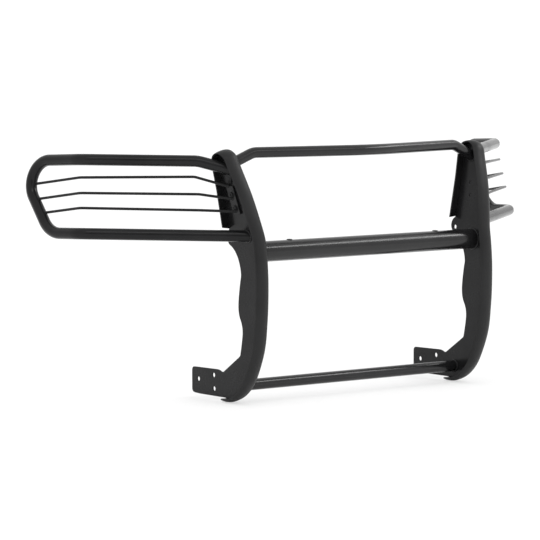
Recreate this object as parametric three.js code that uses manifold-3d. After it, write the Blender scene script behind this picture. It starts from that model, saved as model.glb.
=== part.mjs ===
// Front grille guard for a full-size pickup truck.
// Two riser plates, each with a formed edge strip, carry three cross tubes and
// two side wings with three rods each, plus brackets, bolts and plugs.
//
// Millimetres. +Z is up, -Y is the front of the vehicle and +X is on the right
// when looking from the front towards the grille. X = 0 is the plane of symmetry.
// Heights are measured from a level about 11 above the lower edge of the mounting
// tabs. The finished group is moved so that its origin is the middle of its
// footprint at its lowest point.
//
// A riser and what is fixed to it are drawn flat, then bent: x runs across the
// plate (positive outboard, 0 at mid-thickness), y is Y, z runs along the plate.
// Outline tables give finished heights; flatZ turns them into flat z.

import * as THREE from 'three';
import * as BufferGeometryUtils from 'three/addons/utils/BufferGeometryUtils.js';
import Module from 'manifold-3d';

const wasm = await Module();
wasm.setup();

// ---------------------------------------------------------------- dimensions
const GAP = 0.3;                 // clearance between neighbouring pieces

const RISER_SPACING = 850;       // between the mid-planes of the two plates
const PLATE_X = RISER_SPACING / 2;
const PLATE_T = 5;
const BEND_Z = 455;              // height of the outward bend in each riser
const BEND_ANGLE = THREE.MathUtils.degToRad(10.6);
const BEND_ARC = 40;             // length of the bent zone
const BEND_CUTS = 4;             // facets along the bent zone

const STRIP_HALF_W = 23;
const STRIP_RISE = 10;           // crown height above the lips
const STRIP_T = 4.5;             // thickness at the crown

const WING_TUBE = { od: 33.4, wall: 2.6, sides: 12, boreSides: 8 };
const LOW_TUBE = { od: 33.4, wall: 2.6, sides: 16, boreSides: 10 };
const TOP_TUBE = { od: 31.8, wall: 2.4, sides: 14, boreSides: 8 };
const CENTRE_TUBE = { od: 60.3, wall: 3, sides: 24, boreSides: 16 };
const ROD = { od: 8, sides: 8 };

const TAB_HOLE_D = 14;
const LOBE_HOLE_D = 13;
const HOLE_SIDES = 16;
const BOLT_D = 8;
const BOLT_HOLE_D = 8.8;
const BRACKET_T = 5;
const WING_TAB_T = 4;

// x of the clearance faces outboard of the riser plate and of the rod bracket
const OUTER_FACE = PLATE_T / 2 + GAP;
const BRACKET_FACE = OUTER_FACE + BRACKET_T + GAP;

// ---------------------------------------------------------------- materials
const powderCoat = () => new THREE.MeshStandardMaterial({
  name: 'black_powder_coat', color: 0x1b1b1c, roughness: 0.42, metalness: 0.15,
});
const texturedCoat = () => new THREE.MeshStandardMaterial({
  name: 'black_textured_coat', color: 0x1d1d1e, roughness: 0.5, metalness: 0.1,
});
const blackPlastic = () => new THREE.MeshStandardMaterial({
  name: 'black_plastic', color: 0x141414, roughness: 0.6, metalness: 0,
});
const blackZinc = () => new THREE.MeshStandardMaterial({
  name: 'black_zinc', color: 0x222224, roughness: 0.38, metalness: 0.6,
});

// ---------------------------------------------------------------- mesh helpers
// Copy with positions and index only.
function bareCopy(geometry) {
  const copy = geometry.clone();
  copy.deleteAttribute('normal');
  copy.deleteAttribute('uv');
  return copy;
}

const welded = (geometry) => BufferGeometryUtils.mergeVertices(bareCopy(geometry), 1e-4);

function indexedGeometry(positions, indices) {
  const geometry = new THREE.BufferGeometry();
  geometry.setAttribute('position', new THREE.BufferAttribute(new Float32Array(positions), 3));
  geometry.setIndex(new THREE.BufferAttribute(new Uint32Array(indices), 1));
  return geometry;
}

function toManifold(geometry) {
  const closed = welded(geometry);
  return new wasm.Manifold(new wasm.Mesh({
    numProp: 3,
    vertProperties: new Float32Array(closed.attributes.position.array),
    triVerts: new Uint32Array(closed.index.array),
  }));
}

function fromManifold(solid) {
  const mesh = solid.getMesh();
  return indexedGeometry(mesh.vertProperties, mesh.triVerts);
}

// Copy reflected in X = 0, with the winding put right.
function mirrored(geometry) {
  const copy = bareCopy(geometry).scale(-1, 1, 1);
  const { index } = copy;
  for (let t = 0; t < index.count; t += 3) {
    const second = index.getX(t + 1);
    index.setX(t + 1, index.getX(t + 2));
    index.setX(t + 2, second);
  }
  return copy;
}

// ---------------------------------------------------------------- shapes
function ring(radius, sides, x = 0, y = 0) {
  const points = [];
  for (let i = 0; i < sides; i++) {
    const angle = (2 * Math.PI * (i + 0.5)) / sides;
    points.push(new THREE.Vector2(x + radius * Math.cos(angle), y + radius * Math.sin(angle)));
  }
  return points;
}

const roundHole = (x, y, diameter) => new THREE.Path(ring(diameter / 2, HOLE_SIDES, x, y));

const polygon = (points) => new THREE.Shape(points.map(([x, y]) => new THREE.Vector2(x, y)));

// Shape drawn in (Y, Z), extruded along X from x0 to x1.
function extrudeYZ(shape, x0, x1, curveSegments = 1) {
  const geometry = new THREE.ExtrudeGeometry(shape, {
    depth: x1 - x0, bevelEnabled: false, curveSegments,
  });
  return geometry.applyMatrix4(new THREE.Matrix4().set(
    0, 0, 1, x0,
    1, 0, 0, 0,
    0, 1, 0, 0,
    0, 0, 0, 1,
  ));
}

// Profile of [place along the Y axis, radius] pairs, revolved about Y.
function lathe(profile, sides) {
  const points = profile.map(([along, radius]) => new THREE.Vector2(radius, along));
  return new THREE.LatheGeometry(points, sides);
}

// ---------------------------------------------------------------- paths and tubes
// A path given station by station, so that straight runs stay single segments.
class StationPath extends THREE.Curve {
  constructor(points, tangents) {
    super();
    this.points = points;
    this.tangents = tangents;
  }
  get steps() { return this.points.length - 1; }
  index(u) { return Math.round(THREE.MathUtils.clamp(u, 0, 1) * this.steps); }
  getPointAt(u, target = new THREE.Vector3()) {
    return target.copy(this.points[this.index(u)]);
  }
  getTangentAt(u, target = new THREE.Vector3()) {
    return target.copy(this.tangents[this.index(u)]);
  }
}

function sweep(shape, path) {
  return toManifold(new THREE.ExtrudeGeometry(shape, {
    steps: path.steps, bevelEnabled: false, extrudePath: path,
  }));
}

// Centre line through [x, y, z] corners; radii holds one bend radius for each
// corner between the two ends.
function bentTubePath(corners, radii, degreesPerStep) {
  const vertices = corners.map((corner) => new THREE.Vector3(...corner));
  const legs = vertices.slice(1).map((end, i) => end.clone().sub(vertices[i]).normalize());
  const points = [vertices[0]];
  const tangents = [legs[0]];
  radii.forEach((radius, i) => {
    const [before, after] = [legs[i], legs[i + 1]];
    const turn = before.angleTo(after);
    const start = vertices[i + 1].clone().addScaledVector(before, -radius * Math.tan(turn / 2));
    const inward = after.clone().addScaledVector(before, -Math.cos(turn)).normalize();
    const centre = start.clone().addScaledVector(inward, radius);
    const steps = Math.max(2, Math.round(THREE.MathUtils.radToDeg(turn) / degreesPerStep));
    for (let k = 0; k <= steps; k++) {
      const angle = (turn * k) / steps;
      const [cos, sin] = [Math.cos(angle), Math.sin(angle)];
      points.push(centre.clone()
        .addScaledVector(inward, -radius * cos)
        .addScaledVector(before, radius * sin));
      tangents.push(before.clone().multiplyScalar(cos).addScaledVector(inward, sin).normalize());
    }
  });
  points.push(vertices.at(-1));
  tangents.push(legs.at(-1));
  return new StationPath(points, tangents);
}

// Corner list with its first leg lengthened backwards.
function lengthenStart(corners, distance) {
  const first = new THREE.Vector3(...corners[0]);
  const direction = new THREE.Vector3(...corners[1]).sub(first).normalize();
  return [first.addScaledVector(direction, -distance).toArray(), ...corners.slice(1)];
}

// Open-ended tube, or solid bar if no wall is given. The flats and corners of
// the facets straddle the true radius.
function tubeSolid(path, { od, wall = 0, sides, boreSides }) {
  const cornerFactor = Math.sqrt(2 / (1 + Math.cos(Math.PI / sides)));
  const shape = new THREE.Shape(ring((od / 2) * cornerFactor, sides));
  if (wall > 0) shape.holes.push(new THREE.Path(ring(od / 2 - wall, boreSides)));
  return sweep(shape, path);
}

// ---------------------------------------------------------------- riser bend
const BEND_R = BEND_ARC / BEND_ANGLE;
const BEND_START = BEND_Z - BEND_ARC / 2;

// Flat z of a point that ends up at the given height.
const flatZ = (height) => (
  height <= BEND_Z ? height : BEND_Z + (height - BEND_Z) / Math.cos(BEND_ANGLE)
);
const toFlat = ([y, height]) => [y, flatZ(height)];

// Flat x, z of the right-hand riser to finished X, Z.
function bendPoint(x, z) {
  if (z <= BEND_START) return [x + PLATE_X, z];
  const angle = Math.min((z - BEND_START) / BEND_R, BEND_ANGLE);
  const beyond = Math.max(0, z - BEND_START - BEND_ARC);
  return [
    BEND_R - (BEND_R - x) * Math.cos(angle) + beyond * Math.sin(BEND_ANGLE) + PLATE_X,
    BEND_START + (BEND_R - x) * Math.sin(angle) + beyond * Math.cos(BEND_ANGLE),
  ];
}

// Splits every triangle that crosses the plane z = level. Points on shared edges
// are shared, so a closed mesh stays closed.
function splitAtZ(geometry, level) {
  const positions = Array.from(geometry.attributes.position.array);
  const index = geometry.index.array;
  const onPlane = 1e-4;
  const heightOf = (i) => positions[3 * i + 2] - level;
  const sideOf = (i) => (Math.abs(heightOf(i)) > onPlane ? Math.sign(heightOf(i)) : 0);

  const cutPoints = new Map();
  const cutEdge = (i, j) => {
    const [low, high] = [Math.min(i, j), Math.max(i, j)];
    const key = `${low}_${high}`;
    if (!cutPoints.has(key)) {
      const t = heightOf(low) / (heightOf(low) - heightOf(high));
      for (let k = 0; k < 2; k++) {
        const from = positions[3 * low + k];
        positions.push(from + t * (positions[3 * high + k] - from));
      }
      positions.push(level);
      cutPoints.set(key, positions.length / 3 - 1);
    }
    return cutPoints.get(key);
  };

  const triangles = [];
  for (let t = 0; t < index.length; t += 3) {
    const corners = [index[t], index[t + 1], index[t + 2]];
    const sides = corners.map(sideOf);
    if (!(sides.includes(1) && sides.includes(-1))) {
      triangles.push(...corners);
      continue;
    }
    // turn the triangle until corner a is alone on its side, or on the plane
    for (let r = 0; r < 3; r++) {
      const order = [r, (r + 1) % 3, (r + 2) % 3];
      const [a, b, c] = order.map((k) => corners[k]);
      const [sideA, sideB, sideC] = order.map((k) => sides[k]);
      if (sideA !== 0 && sideB === -sideA && sideC === -sideA) {
        const cutAB = cutEdge(a, b);
        const cutAC = cutEdge(a, c);
        triangles.push(a, cutAB, cutAC, cutAB, b, c, cutAB, c, cutAC);
        break;
      }
      if (sideA === 0 && sideB === -sideC && sideB !== 0) {
        const cutBC = cutEdge(b, c);
        triangles.push(a, b, cutBC, a, cutBC, c);
        break;
      }
    }
  }
  return indexedGeometry(positions, triangles);
}

// Bends a flat piece and moves it to the right-hand riser.
function bendRiser(geometry) {
  let bent = welded(geometry);
  for (let k = 0; k <= BEND_CUTS; k++) {
    bent = splitAtZ(bent, BEND_START + (BEND_ARC * k) / BEND_CUTS);
  }
  const { position } = bent.attributes;
  for (let i = 0; i < position.count; i++) {
    const [x, z] = bendPoint(position.getX(i), position.getZ(i));
    position.setXYZ(i, x, position.getY(i), z);
  }
  return bent;
}

// ---------------------------------------------------------------- edge strip
const REAR_Y = 91;               // crown of the rear leg
const REAR_END_Z = 483.5;        // height of the rear leg's lower end
const REAR_STRAIGHT_Z = 600;     // the leg stands at REAR_Y from here down
const TOP_ARC_R = 40;
const TOP_ARC_Y = 55.3;
const TOP_ARC_Z = 674.4;
const TOP_ARC_START = THREE.MathUtils.degToRad(158);
const FLAT_ARC_Z = flatZ(TOP_ARC_Z);
const FLAT_STRAIGHT_Z = flatZ(REAR_STRAIGHT_Z);
const FLAT_END_Z = flatZ(REAR_END_Z);

const FRONT_STEPS = 27;          // path steps up to the top arc
const TOP_ARC_STEPS = 9;
const SECTION_START = 0.22;      // the section's curve runs from this angle to pi minus it
const OUTER_STEPS = 8;
const INNER_STEPS = 5;
const INNER_INSET = 4;           // inner half width is this much less than outer
const TONGUE_R = STRIP_HALF_W - 1;

// Crown line [Y, height]: from the tongue under the tab, up the front edge, to
// the start of the top arc.
const STRIP_KNOTS = [
  [124.0, -18.5], [114.1, -20.6], [103.2, -21.8], [84.4, -21.2], [61.7, -15.0], [38.0, -4.3],
  [13.8, 13.8], [-8.4, 38.7], [-25.5, 68.5], [-41.7, 103.3], [-53.4, 135.1], [-60.8, 167.8],
  [-65.9, 211.5], [-69.7, 255.1], [-71.2, 298.7], [-71.1, 340.4], [-69.6, 369.1],
  [-64.4, 421.6], [-56.4, 468.2], [-42.6, 525.2], [-25.7, 582.2], [-3.0, 638.7], [9.0, 666.4],
  [
    TOP_ARC_Y + TOP_ARC_R * Math.cos(TOP_ARC_START),
    TOP_ARC_Z + TOP_ARC_R * Math.sin(TOP_ARC_START),
  ],
];

// Flat crown line: the knots, then over the top arc and down the rear leg.
function stripPath() {
  const knots = STRIP_KNOTS.map(([y, height]) => new THREE.Vector3(0, y, flatZ(height)));
  const spline = new THREE.CatmullRomCurve3(knots, false, 'centripetal');
  const points = [];
  const tangents = [];
  for (let i = 0; i < FRONT_STEPS; i++) {
    points.push(spline.getPointAt(i / FRONT_STEPS));
    tangents.push(spline.getTangentAt(i / FRONT_STEPS));
  }
  for (let i = 0; i <= TOP_ARC_STEPS; i++) {
    const angle = TOP_ARC_START * (1 - i / TOP_ARC_STEPS);
    const [cos, sin] = [Math.cos(angle), Math.sin(angle)];
    points.push(new THREE.Vector3(0, TOP_ARC_Y + TOP_ARC_R * cos, FLAT_ARC_Z + TOP_ARC_R * sin));
    tangents.push(new THREE.Vector3(0, sin, -cos));
  }
  for (const z of [FLAT_STRAIGHT_Z, FLAT_END_Z]) {
    points.push(new THREE.Vector3(0, REAR_Y, z));
    tangents.push(new THREE.Vector3(0, 0, -1));
  }
  return new StationPath(points, tangents);
}
const edgePath = stripPath();

// Depth of the outer surface below the crown, 0 at pi / 2 and full at the lips.
function crownDrop(angle) {
  const lip = Math.sin(SECTION_START);
  return STRIP_RISE * (1 - (Math.sin(angle) - lip) / (1 - lip));
}

// Section with the crown at y = 0 and the lips at y = -STRIP_RISE.
function stripSection() {
  const curve = (steps, halfWidth, top, dropScale) => {
    const points = [];
    for (let i = 0; i <= steps; i++) {
      const angle = SECTION_START + ((Math.PI - 2 * SECTION_START) * i) / steps;
      const x = (halfWidth * Math.cos(angle)) / Math.cos(SECTION_START);
      points.push([x, top - crownDrop(angle) * dropScale]);
    }
    return points;
  };
  const innerScale = (STRIP_RISE - STRIP_T) / STRIP_RISE;
  const outer = curve(OUTER_STEPS, STRIP_HALF_W, 0, 1);
  const inner = curve(INNER_STEPS, STRIP_HALF_W - INNER_INSET, -STRIP_T, innerScale);
  return polygon([...outer, ...inner.reverse()]);
}

// The strip flattens out over the top arc into a nearly flat rear leg.
const LEG = {
  widen: 0.05,                   // share added to the width
  edgeFall: 1.2,                 // what is left of the crown at STRIP_HALF_W
  endSlope: Math.tan(BEND_ANGLE) + 0.13,   // makes the end cut near level once bent
  blendStart: -0.5,              // radians past the top of the arc
  blendEnd: 0.9,
};

function flattenRear(geometry) {
  const { position } = geometry.attributes;
  const lipCos = Math.cos(SECTION_START);
  for (let i = 0; i < position.count; i++) {
    const x = position.getX(i);
    const y = position.getY(i);
    let z = position.getZ(i);
    if (Math.abs(z - FLAT_END_Z) < 0.01 && y > TOP_ARC_Y) z += x * LEG.endSlope;
    // leave the front and lower parts alone
    if (y < TOP_ARC_Y - 25 || z < FLAT_END_Z - 10) continue;

    const onArc = z > FLAT_ARC_Z;
    const arcAngle = onArc ? Math.atan2(z - FLAT_ARC_Z, y - TOP_ARC_Y) : 0;
    const climb = (z - FLAT_STRAIGHT_Z) / (FLAT_ARC_Z - FLAT_STRAIGHT_Z);
    const legY = THREE.MathUtils.lerp(
      REAR_Y, TOP_ARC_Y + TOP_ARC_R, THREE.MathUtils.clamp(climb, 0, 1),
    );
    const radius = onArc ? Math.hypot(y - TOP_ARC_Y, z - FLAT_ARC_Z) : y - legY + TOP_ARC_R;

    const sectionCos = THREE.MathUtils.clamp((x * lipCos) / STRIP_HALF_W, -lipCos, lipCos);
    const flattening = crownDrop(Math.acos(sectionCos)) - LEG.edgeFall * (x / STRIP_HALF_W) ** 2;
    const blend = THREE.MathUtils.smoothstep(
      Math.PI / 2 - arcAngle, LEG.blendStart, LEG.blendEnd,
    );
    const newRadius = radius + blend * flattening;
    const newX = x * (1 + LEG.widen * blend);
    if (onArc) {
      const newY = TOP_ARC_Y + newRadius * Math.cos(arcAngle);
      position.setXYZ(i, newX, newY, FLAT_ARC_Z + newRadius * Math.sin(arcAngle));
    } else {
      position.setXYZ(i, newX, legY - TOP_ARC_R + newRadius, z);
    }
  }
  return geometry;
}

// Removes what lies outside the rounded rear end of the tongue, in plan.
function tongueCutter() {
  const [tipY] = STRIP_KNOTS[0];
  const centreY = tipY - TONGUE_R;
  const sideX = 60;
  const shape = new THREE.Shape();
  shape.moveTo(-sideX, centreY);
  shape.lineTo(-TONGUE_R, centreY);
  shape.absarc(0, centreY, TONGUE_R, Math.PI, 0, true);
  shape.lineTo(sideX, centreY);
  shape.lineTo(sideX, tipY + 40);
  shape.lineTo(-sideX, tipY + 40);
  const cutter = new THREE.ExtrudeGeometry(shape, {
    depth: 60, bevelEnabled: false, curveSegments: 10,
  });
  return toManifold(cutter.translate(0, 0, -50));
}

function riserStrip() {
  const strip = sweep(stripSection(), edgePath).subtract(tongueCutter());
  return bendRiser(flattenRear(fromManifold(strip)));
}

// ---------------------------------------------------------------- riser plate
// Plate edge below the strip's crown; 0.25 allows for the facets of its inside.
const PLATE_INSET = STRIP_T + 0.25 + GAP;

// Rear edge [Y, height], from the rear lobe down to the mounting tab.
const REAR_EDGE = [
  [88.7, 479.4], [94.1, 475.4], [98.6, 469.4], [100.8, 462.0], [101.1, 454.0], [99.0, 446.1],
  [92.5, 437.7], [79.9, 430.8], [65.0, 418.7], [54.4, 405.2], [46.8, 391.4], [41.5, 377.3],
  [37.7, 362.9], [36.6, 348.0], [39.6, 334.1], [45.0, 303.4], [47.2, 286.5], [48.7, 271.6],
  [48.9, 256.7], [47.3, 242.9], [43.0, 229.5], [35.4, 215.1], [30.6, 201.2], [29.0, 187.4],
  [29.9, 173.5], [34.7, 145.7], [40.1, 120.4], [44.0, 114.9], [118.5, 66.2],
];
const BRACKET_BOLTS = { upper: [40.6, 587.1], lower: [33.5, 549.4] };   // [Y, height]

// [Y, height, diameter]
const PLATE_HOLES = [
  [245.0, 32.1, TAB_HOLE_D],
  [170.0, 49.9, TAB_HOLE_D],
  [167.8, 10.5, TAB_HOLE_D],
  [83.1, 450.6, LOBE_HOLE_D],
  [...BRACKET_BOLTS.upper, BOLT_HOLE_D],
  [...BRACKET_BOLTS.lower, BOLT_HOLE_D],
];

function riserPlate() {
  // crown line moved inwards, without its tongue
  const front = edgePath.points
    .map((point, i) => {
      const tangent = edgePath.tangents[i];
      return [point.y + tangent.z * PLATE_INSET, point.z - tangent.y * PLATE_INSET];
    })
    .filter(([y, z]) => !(z < 20 && y > 92));
  const rearY = REAR_Y - PLATE_INSET;
  const shape = polygon([
    ...front.slice(0, -1),
    [rearY, FLAT_STRAIGHT_Z],
    [rearY, flatZ(REAR_END_Z - 1)],
    ...REAR_EDGE.map(toFlat),
  ]);
  // mounting tab
  shape.quadraticCurveTo(126.9, 60.5, 135.4, 64.5);
  shape.quadraticCurveTo(145, 69.0, 158.5, 68.7);
  shape.lineTo(264.2, 66.6);
  shape.quadraticCurveTo(276.4, 66.6, 276.4, 54.0);
  shape.lineTo(276.2, 3.5);
  shape.quadraticCurveTo(276.1, -9.4, 262.5, -10.2);
  shape.lineTo(239.1, -11.4);
  shape.lineTo(112.2, -10.9);
  shape.lineTo(...front[0]);
  shape.holes = PLATE_HOLES.map(([y, height, d]) => roundHole(y, flatZ(height), d));
  return bendRiser(extrudeYZ(shape, -PLATE_T / 2, PLATE_T / 2, 2));
}

// ---------------------------------------------------------------- rod bracket and wing tab
function rodBracket() {
  const [lowY, lowZ] = toFlat([44.4, 527.5]);     // lower rear corner, rounded
  const [highY, highZ] = toFlat([63.2, 609.5]);   // upper rear corner, rounded
  const shape = new THREE.Shape();
  shape.moveTo(...toFlat([30.1, 611.5]));
  shape.lineTo(...toFlat([12.4, 531.5]));
  shape.lineTo(lowY - 8, lowZ + 0.8);
  shape.quadraticCurveTo(lowY, lowZ, lowY + 1.7, lowZ + 8);
  shape.lineTo(highY - 1.4, highZ - 7);
  shape.quadraticCurveTo(highY, highZ, highY - 7, highZ + 0.4);
  shape.holes = Object.values(BRACKET_BOLTS)
    .map(([y, height]) => roundHole(y, flatZ(height), BOLT_HOLE_D));
  return bendRiser(extrudeYZ(shape, OUTER_FACE, OUTER_FACE + BRACKET_T, 4));
}

// Small tab under the inboard end of the upper wing tube.
function wingTab() {
  const bottomZ = flatZ(619);
  const shape = new THREE.Shape();
  shape.moveTo(...toFlat([29.9, 641.6]));
  shape.lineTo(...toFlat([35.3, 623.8]));
  shape.quadraticCurveTo(37.7, bottomZ, 43.7, bottomZ);
  shape.lineTo(59.5, bottomZ);
  shape.quadraticCurveTo(65.9, bottomZ, 66.4, flatZ(625.7));
  shape.lineTo(...toFlat([69.5, 643.6]));
  const tab = bendRiser(extrudeYZ(shape, OUTER_FACE, OUTER_FACE + WING_TAB_T, 4));
  return fromManifold(toManifold(tab).subtract(loopClearance));
}

// Bolt through bracket and plate, with a round recess in its outboard head.
function bracketBolt([y, height]) {
  const shankR = BOLT_D / 2;
  const headR = 7;
  const recessR = 2.4;
  const bolt = lathe([
    [-1.2, 0], [-1.2, 3.4], [-0.7, shankR], [BRACKET_FACE, shankR],
    [BRACKET_FACE, headR], [BRACKET_FACE + 1.4, headR], [BRACKET_FACE + 3, 5.9],
    [BRACKET_FACE + 4, 4], [BRACKET_FACE + 4, recessR],
    [BRACKET_FACE + 1.6, recessR], [BRACKET_FACE + 1.6, 0],
  ], 12);
  const [x, z] = bendPoint(0, flatZ(height));
  return bolt.rotateZ(-Math.PI / 2).rotateY(BEND_ANGLE).translate(x, y, z);
}

// ---------------------------------------------------------------- cutting tools
// Slab that follows the riser's bend, between two flat x values.
function slab(x0, x1) {
  const shape = polygon([[-150, -60], [300, -60], [300, 800], [-150, 800]]);
  return toManifold(bendRiser(extrudeYZ(shape, x0, x1)));
}
const TRIM_REACH = 60;
const plateTrim = slab(-TRIM_REACH, OUTER_FACE);
const bracketTrim = slab(-TRIM_REACH, BRACKET_FACE);
const outboardTrim = slab(-OUTER_FACE, TRIM_REACH);

// Space around the strip's rear leg and top arc, to which the wing tube is coped.
// Columns: degrees round the top arc from the rear, radius.
const CLEARANCE_ARC = [
  [0, 33.6], [15, 33.6], [30, 33.5], [45, 33.2], [60, 32.4], [75, 31.3],
  [90, 30.3], [110, 29.6], [130, 29.6], [155, 29.6], [180, 29.6],
];
function stripClearance() {
  const legY = REAR_Y - 6.6;
  const [frontY, rearY, bottomZ, topZ] = [-20, 140, 480, 780];
  const shape = polygon([
    [legY, bottomZ],
    [legY, FLAT_STRAIGHT_Z],
    ...CLEARANCE_ARC.map(([degrees, radius]) => {
      const angle = THREE.MathUtils.degToRad(degrees);
      return [TOP_ARC_Y + radius * Math.cos(angle), FLAT_ARC_Z + radius * Math.sin(angle)];
    }),
    [frontY, FLAT_ARC_Z],
    [frontY, topZ],
    [rearY, topZ],
    [rearY, bottomZ],
  ]);
  const outboardX = STRIP_HALF_W * (1 + LEG.widen) + GAP;
  return toManifold(bendRiser(extrudeYZ(shape, -30, outboardX)));
}

// ---------------------------------------------------------------- wings
// Right-hand loop corners [x, y, z]: out along the top, back in along the bottom.
const WING_CORNERS = [
  [464.3, 53, 659], [529.8, 105.9, 680.9], [793.2, 317.5, 685], [841.1, 572.4, 672],
  [843.8, 400.2, 470.7], [820.8, 277.8, 475.4], [429.8, 4.5, 466.5],
];
const WING_RADII = [95, 66, 67.5, 85.4, 66];
const WING_OVERRUN = 22;         // extra length at each end, trimmed at the riser
const ROD_OVERRUN = 20;

// Right-hand rod corners [x, y, z], from the bracket out to the loop.
const WING_RODS = {
  upper: {
    corners: [
      [455.8, 49.2, 606.8], [537.3, 111.1, 635.8], [800.8, 306.7, 634.3], [837.2, 499.6, 606.5],
    ],
    radii: [45, 22],
  },
  middle: {
    corners: [
      [449.8, 38.3, 571.8], [530.9, 98.5, 586.2], [806.8, 298.2, 590.3], [840.4, 476.5, 564.4],
    ],
    radii: [45, 22],
  },
  lower: {
    corners: [
      [442.8, 28.6, 536.5], [532.9, 91.9, 540.6], [812.6, 290, 548], [842.7, 449.9, 525.2],
    ],
    radii: [60, 22],
  },
};

function wingPath() {
  const startLong = lengthenStart(WING_CORNERS, WING_OVERRUN);
  const bothLong = lengthenStart(startLong.reverse(), WING_OVERRUN).reverse();
  return bentTubePath(bothLong, WING_RADII, 12.5);
}
const loopPath = wingPath();
const loopClearance = tubeSolid(loopPath, {
  od: WING_TUBE.od + 2 * GAP, sides: WING_TUBE.sides,
});

function wingLoop() {
  const tube = tubeSolid(loopPath, WING_TUBE);
  return fromManifold(tube.subtract(plateTrim).subtract(stripClearance()));
}

function wingRod({ corners, radii }) {
  const rod = tubeSolid(bentTubePath(lengthenStart(corners, ROD_OVERRUN), radii, 12), ROD);
  return fromManifold(rod.subtract(loopClearance).subtract(bracketTrim));
}

// ---------------------------------------------------------------- crossbars
const TOP_BAR = { end: [478, 55, 660.5], bend: [380, 41, 703.4], centre: [0, -45, 703.4] };
const TOP_BAR_RADII = [60, 480, 60];
const CENTRE_BAR = { y: 3.5, z: 419.4 };
const LOW_BAR = { y: 84.3, z: 25 };
const BAR_OVERRUN = 10;          // past each riser's mid-plane, trimmed off
const PLUG_X = 276;              // holes in the top of the centre crossbar
const PLUG_D = 12;
const PLUG_HOLE_D = PLUG_D + 0.8;
const CENTRE_BAR_TOP = CENTRE_BAR.z + CENTRE_TUBE.od / 2;

const trimBetweenRisers = (solid) => (
  solid.subtract(outboardTrim).subtract(outboardTrim.mirror([1, 0, 0]))
);

function topCrossbar() {
  const { end, bend, centre } = TOP_BAR;
  const flip = ([x, y, z]) => [-x, y, z];
  const path = bentTubePath([flip(end), flip(bend), centre, bend, end], TOP_BAR_RADII, 7);
  return fromManifold(trimBetweenRisers(tubeSolid(path, TOP_TUBE)));
}

function straightBar({ y, z }, tube) {
  const endX = PLATE_X + BAR_OVERRUN;
  const points = [-endX, endX].map((x) => new THREE.Vector3(x, y, z));
  const tangents = points.map(() => new THREE.Vector3(1, 0, 0));
  return trimBetweenRisers(tubeSolid(new StationPath(points, tangents), tube));
}

function centreCrossbar() {
  let bar = straightBar(CENTRE_BAR, CENTRE_TUBE);
  for (const x of [-PLUG_X, PLUG_X]) {
    const drill = new THREE.CylinderGeometry(PLUG_HOLE_D / 2, PLUG_HOLE_D / 2, 30, 12);
    drill.rotateX(Math.PI / 2).translate(x, CENTRE_BAR.y, CENTRE_BAR_TOP + 5);
    bar = bar.subtract(toManifold(drill));
  }
  return fromManifold(bar);
}

// Plug with a domed flange; profile heights are from the top of the bar.
function lampPlug() {
  const plugR = PLUG_D / 2;
  const plug = lathe([
    [-8, 0], [-8, plugR - 0.8], [-6.5, plugR], [0.5, plugR],
    [0.5, 8.5], [1.3, 8], [2, 6.2], [2.2, 0],
  ], 16);
  return plug.rotateX(Math.PI / 2).translate(PLUG_X, CENTRE_BAR.y, CENTRE_BAR_TOP);
}

// ---------------------------------------------------------------- assembly
const group = new THREE.Group();
group.name = 'grille_guard';

function add(name, geometry, material) {
  geometry.computeVertexNormals();
  const mesh = new THREE.Mesh(geometry, material);
  mesh.name = name;
  group.add(mesh);
}

// Adds a right-hand piece and its mirror image, each with its own material.
function addPair(name, geometry, makeMaterial) {
  add(`${name}_right`, geometry, makeMaterial());
  add(`${name}_left`, mirrored(geometry), makeMaterial());
}

addPair('riser_plate', riserPlate(), powderCoat);
addPair('riser_edge_strip', riserStrip(), texturedCoat);
add('top_crossbar', topCrossbar(), powderCoat());
add('centre_crossbar', centreCrossbar(), powderCoat());
add('lower_crossbar', fromManifold(straightBar(LOW_BAR, LOW_TUBE)), powderCoat());
addPair('wing_loop', wingLoop(), powderCoat);
for (const [place, rod] of Object.entries(WING_RODS)) {
  addPair(`wing_rod_${place}`, wingRod(rod), powderCoat);
}
addPair('rod_bracket', rodBracket(), powderCoat);
addPair('wing_tube_tab', wingTab(), powderCoat);
for (const [place, bolt] of Object.entries(BRACKET_BOLTS)) {
  addPair(`bracket_bolt_${place}`, bracketBolt(bolt), blackZinc);
}
addPair('lamp_hole_plug', lampPlug(), blackPlastic);

// origin at the middle of the footprint, at the lowest point
const extent = new THREE.Box3().setFromObject(group);
group.position.set(0, -(extent.min.y + extent.max.y) / 2, -extent.min.z);

export default group;
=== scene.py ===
# A tubular guard: two bent side risers (plate plus formed edge strip), three crossbars
# between them and a wing of tube and rods outboard of each riser.
# Design space is in millimetres: X across (the right riser is on +X), Y towards the rear, Z up.
# Parts are modelled for the right side, mirrored in X, then moved into the CAD frame in metres.
# "Flat" coordinates are those of a riser before its upper part is bent outboard.
import math
import bpy
import bmesh
import numpy as np
from mathutils import Vector, Matrix


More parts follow.
